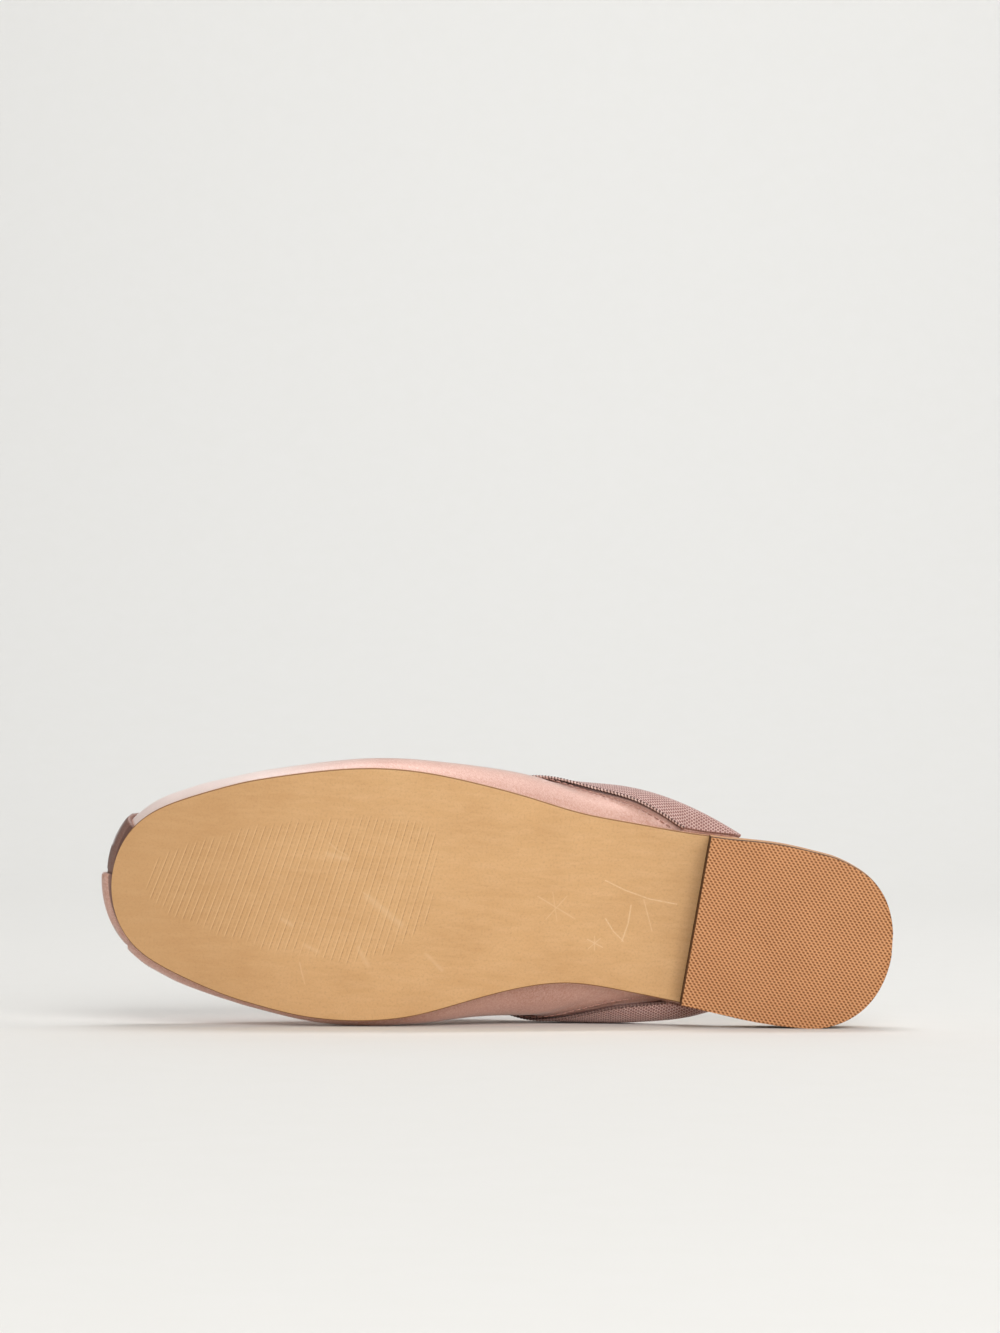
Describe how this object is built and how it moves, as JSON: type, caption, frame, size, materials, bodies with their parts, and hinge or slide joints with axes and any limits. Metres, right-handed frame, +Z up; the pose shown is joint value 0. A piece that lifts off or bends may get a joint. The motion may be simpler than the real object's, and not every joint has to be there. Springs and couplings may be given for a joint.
{
  "type": "ballet mule",
  "caption": "Low backless slip-on shoe with a round pleated toe, a ribbon-bound open collar, a thin arched sole and a flat stacked heel, lying on its inner side.",
  "frame": {"origin": "on the ground, below the middle of the shoe as it lies on its inner side", "axes": "+X along the sole towards the heel, -Y the way that the sole faces (3.2 degrees below level), +Z up, towards the outer side of the shoe"},
  "size_m": [0.253, 0.0586, 0.0854],
  "materials": {
    "satin": "satin weave with a soft sheen",
    "grosgrain": "ribbed matt ribbon",
    "sole_leather": "smooth, lightly scuffed",
    "insole_leather": "matt",
    "heel_stack": "smooth edge",
    "heel_rubber": "moulded with a fine diamond texture"
  },
  "bodies": {
    "root": {"upper": "satin", "binding": "grosgrain", "outsole": "sole_leather", "insole": "insole_leather", "heel_block": "heel_stack", "top_lift": "heel_rubber"}
  },
  "joints": []
}
